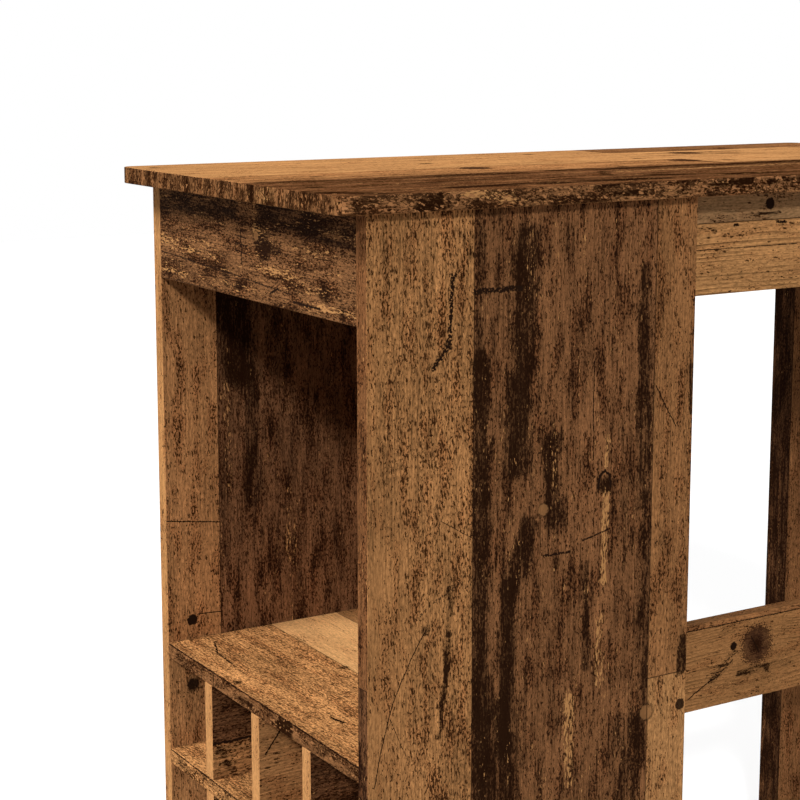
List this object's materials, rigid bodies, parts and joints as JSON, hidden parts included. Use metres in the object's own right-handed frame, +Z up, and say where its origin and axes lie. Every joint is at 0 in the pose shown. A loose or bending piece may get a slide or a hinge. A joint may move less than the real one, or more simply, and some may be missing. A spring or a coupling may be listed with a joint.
{
  "type": "bar table",
  "caption": "Bar table of faced boards with an open compartment over a bottle rack at one end, an end panel, aprons and a stretcher.",
  "frame": {"origin": "on the floor, under the middle of the tabletop", "axes": "+Z up; +X along the table, from the storage unit to the end panel; -Y is the front, from which the unit's open end is at the left"},
  "size_m": [1.02, 0.5, 1.035],
  "materials": {
    "top_faces": "printed plank decor on particle board, satin",
    "side_panel_faces": "printed plank decor on particle board, satin",
    "inner_board_faces": "printed plank decor on particle board, satin",
    "rail_faces": "printed plank decor on particle board, satin",
    "shelf_faces": "printed plank decor on particle board, satin",
    "divider_faces": "printed plank decor on particle board, satin",
    "cam_metal": "die-cast, dull",
    "bolt_metal": "bright plated",
    "glide_plastic": "matt"
  },
  "bodies": {
    "root": {"tabletop": "top_faces", "front_side_panel": "side_panel_faces", "back_side_panel": "side_panel_faces", "partition": "inner_board_faces", "end_panel": "inner_board_faces", "left_end_apron": "rail_faces", "front_apron": "rail_faces", "back_apron": "rail_faces", "stretcher": "rail_faces", "plinth": "rail_faces", "shelf_1": "shelf_faces", "shelf_2": "shelf_faces", "shelf_3": "shelf_faces", "shelf_4": "shelf_faces", "divider_1_1": "divider_faces", "divider_1_2": "divider_faces", "divider_1_3": "divider_faces", "divider_2_1": "divider_faces", "divider_2_2": "divider_faces", "divider_2_3": "divider_faces", "divider_3_1": "divider_faces", "divider_3_2": "divider_faces", "divider_3_3": "divider_faces", "cam_nut_front_left_top": "cam_metal", "cam_nut_front_right_top": "cam_metal", "cam_nut_back_left_top": "cam_metal", "cam_nut_back_right_top": "cam_metal", "cam_nut_end_front_top": "cam_metal", "cam_nut_end_back_top": "cam_metal", "cam_nut_front_apron_left": "cam_metal", "cam_nut_front_apron_right": "cam_metal", "cam_nut_back_apron_left": "cam_metal", "cam_nut_back_apron_right": "cam_metal", "cam_nut_stretcher_left": "cam_metal", "cam_nut_stretcher_right": "cam_metal", "cam_nut_end_apron_front": "cam_metal", "cam_nut_end_apron_back": "cam_metal", "cam_bolt_front_left_top": "bolt_metal", "cam_bolt_front_right_top": "bolt_metal", "cam_bolt_back_left_top": "bolt_metal", "cam_bolt_back_right_top": "bolt_metal", "cam_bolt_end_front_top": "bolt_metal", "cam_bolt_end_back_top": "bolt_metal", "cam_bolt_front_apron_left": "bolt_metal", "cam_bolt_front_apron_right": "bolt_metal", "cam_bolt_back_apron_left": "bolt_metal", "cam_bolt_back_apron_right": "bolt_metal", "cam_bolt_stretcher_left": "bolt_metal", "cam_bolt_stretcher_right": "bolt_metal", "cam_bolt_end_apron_front": "bolt_metal", "cam_bolt_end_apron_back": "bolt_metal", "glide_front_left": "glide_plastic", "glide_front_right": "glide_plastic", "glide_back_left": "glide_plastic", "glide_back_right": "glide_plastic", "glide_end_front": "glide_plastic", "glide_end_back": "glide_plastic"}
  },
  "joints": []
}
